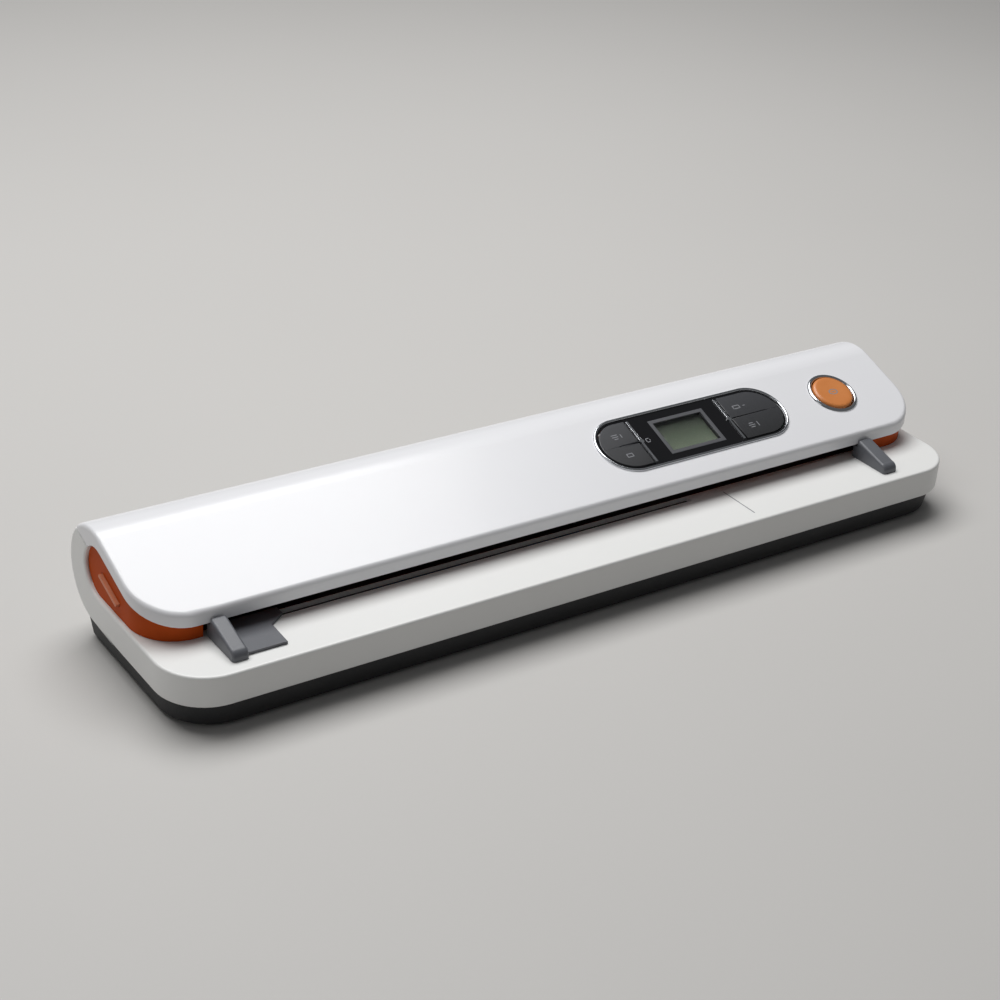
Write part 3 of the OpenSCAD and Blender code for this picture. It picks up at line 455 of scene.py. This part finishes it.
print("stage: white shells")
shellLook = {"outerRadius": 1.1, "outerSteps": 6, "lipRadius": 0.4, "lipSteps": 3, "lipDrop": 3,
             "trayRadius": 0.7, "traySteps": 4}
near = {"plane": 0.05, "outline": 0.1, "wrap": 0.12, "slope": 0.08}  # how close counts as on it


# Within reach of a circle's line
def onArc(across, up, radius, reach):
    return abs(math.hypot(across, up) - radius) < reach


# On the round back that the shell wraps around, seen from the end
def onWrap(p):
    return onArc(p[1] - shape["wrapBack"], p[2] - shape["wrapRadius"], shape["wrapRadius"], near["wrap"])


# The cover's height over the tray's underside at this distance from the front
def coverPlane(y):
    overAxis = shape["wrapRadius"] + shape["wrapRadius"] / math.cos(coverTilt)
    return overAxis + (y - shape["wrapBack"]) * math.tan(coverTilt)


def atEnd(p):
    return min(p[0], shape["length"] - p[0]) < near["plane"]


def onTop(p):
    return abs(p[2] - coverPlane(p[1])) < near["slope"] and p[1] < shape["wrapBack"]


# On an outline, seen from above, with a straight front and two round front corners
def onOutline(p, front, radius):
    side = min(p[0], shape["length"] - p[0])
    back = front + radius
    if side > radius + near["plane"]:
        return p[1] < front + near["plane"]
    return p[1] < back + near["plane"] and onArc(side - radius, p[1] - back, radius, near["outline"])


def onCoverOutline(p):
    return atEnd(p) or onOutline(p, shape["coverFront"], shape["coverCorner"])


def onTrayFront(p):
    return onOutline(p, 0, shape["trayCorner"])


# On the cover's lower rim, well under its top face
def isLip(p):
    return p[2] < coverPlane(p[1]) - shellLook["lipDrop"] and onCoverOutline(p)


def coverShell():
    bm = copyOf("upper_cover")
    roundEdges(bm, shellLook["outerRadius"], shellLook["outerSteps"],
               lambda a, b: all((onTop(p) and onCoverOutline(p)) or (atEnd(p) and onWrap(p))
                                for p in (a, b)))
    roundEdges(bm, shellLook["lipRadius"], shellLook["lipSteps"], lambda a, b: isLip(a) and isLip(b))
    holdFlats(bm)
    return finishPiece("coverShell", bm, whiteAbs, "housing", ["upper_cover"])


def trayShell():
    bm = copyOf("tray_shell")
    deep = shape["trayDepth"]
    backEdge = shape["wrapBack"] - near["outline"]
    frontEdge = shape["wrapBack"] + near["outline"]
    roundEdges(bm, shellLook["outerRadius"], shellLook["outerSteps"],
               lambda a, b: all(atEnd(p) and onWrap(p) and p[1] > backEdge for p in (a, b)))
    roundEdges(bm, shellLook["trayRadius"], shellLook["traySteps"],
               lambda a, b: all((abs(p[2] - deep) < near["plane"] and onTrayFront(p))
                                or (p[2] > deep - near["plane"] and atEnd(p) and not onWrap(p))
                                for p in (a, b)))
    roundEdges(bm, shellLook["trayRadius"], shellLook["traySteps"],
               lambda a, b: all(abs(p[2]) < near["plane"]
                                and (onTrayFront(p) or (atEnd(p) and p[1] < frontEdge))
                                for p in (a, b)))
    holdFlats(bm)
    return finishPiece("trayShell", bm, trayAbs, "housing", ["tray_shell"])


coverShell()
trayShell()

print("stage: orange frame and black base")


def innerFrame():
    bm = copyOf("inner_frame")
    return finishPiece("orangeFrame", bm, orangeAbs, "housing", ["inner_frame"])


baseLook = {"side": 2.3, "rear": 59.5, "under": -6.9, "corner": (16.4, 14.2), "heel": (6.2, 55.6, 4.0),
            "reach": 0.15, "radius": 0.8, "steps": 4}


# The base's outline underneath: near-straight sides, wide front corners and small rear ones
def onBaseOutline(p):
    side = min(p[0], shape["length"] - p[0])
    middle, radius = baseLook["corner"]
    heelSide, heelBack, heelRadius = baseLook["heel"]
    if side < middle and p[1] < middle:
        return onArc(side - middle, p[1] - middle, radius, baseLook["reach"])
    if side < heelSide and p[1] > heelBack:
        return onArc(side - heelSide, p[1] - heelBack, heelRadius, baseLook["reach"])
    return min(side, p[1]) < baseLook["side"] or p[1] > baseLook["rear"]


def baseTub():
    bm = copyOf("base_cover")
    roundEdges(bm, baseLook["radius"], baseLook["steps"],
               lambda a, b: all(p[2] < baseLook["under"] and onBaseOutline(p) for p in (a, b)))
    return finishPiece("baseTub", bm, blackAbs, "housing", ["base_cover"])


innerFrame()
baseTub()

print("stage: paper guides")
guideLook = {"crest": 0.85, "crestSteps": 5, "leftBlade": 21.75, "rightBlade": 200, "bladeBack": 17.4,
             "bladeFoot": 9.5, "footTop": 10.06, "footReach": 0.06, "footFrom": 25, "footRim": 0.2,
             "footSteps": 2, "sharp": 50}


def onBlade(p):
    beside = p[0] < guideLook["leftBlade"] or p[0] > guideLook["rightBlade"]
    return beside and p[1] < guideLook["bladeBack"]


def onFoot(p):
    return abs(p[2] - guideLook["footTop"]) < guideLook["footReach"] and p[0] > guideLook["footFrom"]


# The blade's crest and nose are well rounded, the foot's rim only just
def guide(node, name, body):
    bm = copyOf(node)
    roundEdges(bm, guideLook["crest"], guideLook["crestSteps"],
               lambda a, b: onBlade(a) and onBlade(b) and max(a[2], b[2]) > guideLook["bladeFoot"],
               guideLook["sharp"])
    roundEdges(bm, guideLook["footRim"], guideLook["footSteps"], lambda a, b: onFoot(a) and onFoot(b),
               guideLook["sharp"])
    return finishPiece(name, bm, guideAbs, body, [node])


guide("left_guide", "leftGuide", "left_guide")
guide("right_guide", "rightGuide", "housing")

print("stage: panel")
panelSetup = {"ringMiddle": 0.3, "fold": 0.4, "reach": 0.06}
coverNormal = Vector((0, -math.sin(coverTilt), math.cos(coverTilt)))
panelCentre = (ringLow + ringHigh) / 2 - coverNormal * panelSetup["ringMiddle"] * mm
panelFrame = Matrix.Translation(panelCentre) @ Matrix.Rotation(coverTilt, 4, "X")


def heightOverCover(point):
    return (point - panelCentre).dot(coverNormal) / mm


def isFolded(edge):
    return len(edge.link_faces) == 2 and edge.calc_face_angle(0) > panelSetup["fold"]


# Rounds the rims of the face that lies this high over the cover
def roundTop(bm, look):
    picked = [e for e in bm.edges if isFolded(e)
              and all(abs(heightOverCover(v.co) - look["level"]) < panelSetup["reach"] for v in e.verts)]
    bevelEdges(bm, picked, look["radius"], look["steps"])


ringLook = {"level": 0.6, "radius": 0.4, "steps": 4}


def panelRing():
    bm = copyOf("panel_ring")
    roundTop(bm, ringLook)
    return finishPiece("panelRing", bm, chromePlate, "housing", ["panel_ring"])


barLook = {"level": 0.3, "radius": 0.2, "steps": 3}


def dividerBars():
    bm = copyOf("divider_bars")
    roundTop(bm, barLook)
    return finishPiece("dividerBars", bm, chromePlate, "housing", ["divider_bars"])


bezelLook = {"level": 0.1, "radius": 0.12, "steps": 2}


def displayBezel():
    bm = copyOf("lcd_bezel")
    roundTop(bm, bezelLook)
    return finishPiece("displayBezel", bm, bezelPaint, "housing", ["lcd_bezel"])


keyLook = {"menuSlit": -27.0, "modeSlit": 28.5, "closing": 0.8, "past": 0.7, "closed": 0.12,
           "slitHalf": 0.25, "seam": 0.1, "top": 0.3, "topReach": 0.05, "radius": 0.28, "steps": 3}


# A key copy whose slit closes up past its end, with a rounded top edge
def panelKey(node, name, slitEnd):
    bm = copyOf(node)
    bm.transform(panelFrame.inverted())
    side = 1 if slitEnd > 0 else -1
    for cut in (slitEnd, slitEnd + side * keyLook["closing"]):
        bmesh.ops.bisect_plane(bm, geom=bm.verts[:] + bm.edges[:] + bm.faces[:], dist=1e-7,
                               plane_co=(cut * mm, 0, 0), plane_no=(1, 0, 0))
    past = (abs(slitEnd) + keyLook["past"]) * mm
    for v in bm.verts:
        if abs(v.co.y) < keyLook["slitHalf"] * mm and v.co.x * side > past:
            v.co.y *= keyLook["closed"]
    picked = [e for e in bm.edges if isFolded(e)
              and all(abs(v.co.z - keyLook["top"] * mm) < keyLook["topReach"] * mm for v in e.verts)
              and not all(abs(v.co.y) < keyLook["seam"] * mm for v in e.verts)]
    bevelEdges(bm, picked, keyLook["radius"], keyLook["steps"], False)
    bm.transform(panelFrame)
    return finishPiece(name, bm, keyAbsPaintedHighlight, node, [node])


# Thin printed marks: rectangles of x, y, width and height in millimetres on the plane of place
def printed(name, body, place, height, strokes):
    bm = bmesh.new()
    for x, y, w, h in strokes:
        size = Matrix.Diagonal((w / 2 * mm, h / 2 * mm, 1, 1))
        bmesh.ops.create_grid(bm, x_segments=1, y_segments=1, size=1,
                              matrix=place @ Matrix.Translation((x * mm, y * mm, height * mm)) @ size)
    return finishPiece(name, bm, printInk, body)


panelRing()
dividerBars()
displayBezel()
for node, name, slit in (("menu_key_upper", "menuKeyUpper", keyLook["menuSlit"]),
                         ("menu_key_lower", "menuKeyLower", keyLook["menuSlit"]),
                         ("mode_key_upper", "modeKeyUpper", keyLook["modeSlit"]),
                         ("mode_key_lower", "modeKeyLower", keyLook["modeSlit"])):
    panelKey(node, name, slit)

trayFrame = Matrix.Translation((trayLow.x, trayLow.y, trayTop))
markHeights = {"key": 0.32, "plate": 0.01, "tray": 0.012}  # a hair above what each is printed on
keyMarks = {
    "menuMarks": ("menu_key_upper", [(-27.2, 4.6, 2.2, 0.3), (-27.2, 3.8, 2.2, 0.3), (-27.2, 3.0, 1.4, 0.3),
                                     (-25.0, 3.8, 0.3, 1.4)]),
    "menuLowMarks": ("menu_key_lower", [(-26.8, -3.4, 2.0, 0.3), (-26.8, -4.6, 2.0, 0.3),
                                        (-27.8, -4.0, 0.3, 1.5), (-25.8, -4.0, 0.3, 1.5)]),
    "modeMarks": ("mode_key_upper", [(19.6, 4.4, 2.4, 0.3), (19.6, 3.2, 2.4, 0.3), (18.4, 3.8, 0.3, 1.5),
                                     (20.8, 3.8, 0.3, 1.5), (22.6, 3.8, 0.9, 0.3)]),
    "modeLowMarks": ("mode_key_lower", [(20.0, -3.6, 1.6, 0.3), (20.0, -4.4, 2.4, 0.3),
                                        (20.0, -5.2, 1.6, 0.3), (22.4, -4.4, 0.3, 1.8)]),
}
plateMarks = [(-17.3, 0.7, 1.1, 0.28), (-17.3, -0.7, 1.1, 0.28), (-17.9, 0.0, 0.28, 1.2),
              (-16.6, 0.0, 0.28, 0.6)]
widthMark = [(188.7, 11.3, 0.4, 14.6)]
for name, (key, strokes) in keyMarks.items():
    printed(name, key, panelFrame, markHeights["key"], strokes)
printed("plateMarks", "housing", panelFrame, markHeights["plate"], plateMarks)
printed("widthMark", "housing", trayFrame, markHeights["tray"], widthMark)

print("stage: scan button")
buttonLook = {"x": 244.4, "y": 34.2, "radius": 6.75, "top": 0.9, "bottom": -2.0, "dish": 0.12,
              "stemRadius": 1.5, "stemEnd": -2.2}
buttonFrame = Matrix.Translation(Vector((
    trayLow.x + buttonLook["x"] * mm, trayLow.y + buttonLook["y"] * mm,
    trayBottom + coverPlane(buttonLook["y"]) * mm))) @ Matrix.Rotation(coverTilt, 4, "X")


# A piece turned about its axis, from radius and height pairs in millimetres
def turned(outline, steps=96):
    bm = bmesh.new()
    verts = [bm.verts.new((r * mm, 0, z * mm)) for r, z in outline]
    edges = [bm.edges.new((a, b)) for a, b in zip(verts, verts[1:])]
    bmesh.ops.spin(bm, geom=verts + edges, cent=(0, 0, 0), axis=(0, 0, 1), angle=2 * math.pi,
                   steps=steps, use_merge=True)
    bmesh.ops.remove_doubles(bm, verts=bm.verts[:], dist=1e-7)
    bmesh.ops.recalc_face_normals(bm, faces=bm.faces[:])
    return bm


def scanButton():
    r, top, bottom = buttonLook["radius"], buttonLook["top"], buttonLook["bottom"]
    stem, stemEnd = buttonLook["stemRadius"], buttonLook["stemEnd"]
    bm = turned([(0, top - buttonLook["dish"]), (2.5, top - 0.1), (4.6, top - 0.03), (5.6, top),
                 (r - 0.6, top - 0.08), (r - 0.28, top - 0.25), (r - 0.08, top - 0.5), (r, top - 0.85),
                 (r, bottom), (stem, bottom), (stem, stemEnd), (0, stemEnd)])
    bm.transform(buttonFrame)
    return finishPiece("scanButton", bm, buttonLacquer, "scan_button", ["scan_button"])


rimLook = {"outer": 8.4, "inner": 7.05, "foot": -1.9, "wall": 0.5}


def buttonRing():
    outer, inner, foot = rimLook["outer"], rimLook["inner"], rimLook["foot"]
    wall = outer - rimLook["wall"]
    bm = turned([(inner, foot), (inner, 0.2), (inner + 0.12, 0.42), (inner + 0.35, 0.56),
                 (inner + 0.65, 0.6), (outer - 0.4, 0.52), (outer - 0.12, 0.32), (outer, 0.05),
                 (outer - 0.02, 0.0), (wall, 0.0), (wall, foot), (inner, foot)])
    bm.transform(buttonFrame)
    return finishPiece("buttonRing", bm, chromePlate, "housing", ["button_ring"])


ovalLook = {"inner": 0.95, "outer": 1.3, "steps": 48, "wide": 1.35, "high": 0.9, "bar": (0.5, 0.16),
            "raised": 0.015}


# The oval outline printed at the button's middle, with a short bar in it
def buttonMark():
    bm = turned([(ovalLook["inner"], 0), (ovalLook["outer"], 0)], ovalLook["steps"])
    barWide, barHigh = ovalLook["bar"]
    bmesh.ops.create_grid(bm, x_segments=1, y_segments=1, size=1,
                          matrix=Matrix.Diagonal((barWide * mm, barHigh * mm, 1, 1)))
    bm.transform(Matrix.Diagonal((ovalLook["wide"], ovalLook["high"], 1, 1)))
    for v in bm.verts:
        v.co.z = (buttonLook["top"] - buttonLook["dish"] + ovalLook["raised"]) * mm
    bm.transform(buttonFrame)
    return finishPiece("buttonMark", bm, printInk, "scan_button")


scanButton()
buttonRing()
buttonMark()

print("stage: materials on the other nodes")
windowLow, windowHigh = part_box("lcd_window")
paint(panelAcrylic, "panel_plate")
paint(displayCellWithPaintedShade(cellLookPaintedShade, windowLow.y, windowHigh.y), "lcd_module")
paint(clearSheet("clearAcrylicWindow", "#e8ece6", 1.49), "lcd_window")
paint(clearSheet("clearSensorGlass", "#eef4f4", 1.52), "sensor_glass")
paint(circuitBoard(boardLook), "control_boards", "main_board")
paint(blackAbs, "image_sensor", "paper_flag")
# The feed plate's near-black is partly painted shade from the cover above it
paint(slotBlackPaintedShade, "feed_plate")
paint(padRubber, "rubber_feet")
paint(tyreRubber, "feed_tyres", "exit_tyres")
paint(acetal, "feed_pinch_tyres", "exit_pinch_tyres", "feed_gear", "exit_gear", "transfer_gear",
      "reduction_gear", "roller_bushes")
paint(drawnSteel, "guide_rail", "feed_shaft", "exit_shaft", "feed_pinch_shaft", "exit_pinch_shaft",
      "motor_shaft", "gear_studs", "sensor_springs", "base_screws")
paint(platedSteel, "gear_bracket", "bearing_bracket", "drive_motor", "usb_socket", "card_socket")
paint(turnedBrass, "motor_gear")
paint(guideAbs, "guide_carriage")
paint(platenFilm, "platen_strip")
paint(cardPlastic, "memory_card")
paint(batteryFilm, "battery_pack")
paint(cableFilm, "sensor_cable")
paint(switchNylon, "tact_switches")

print("stage: done")
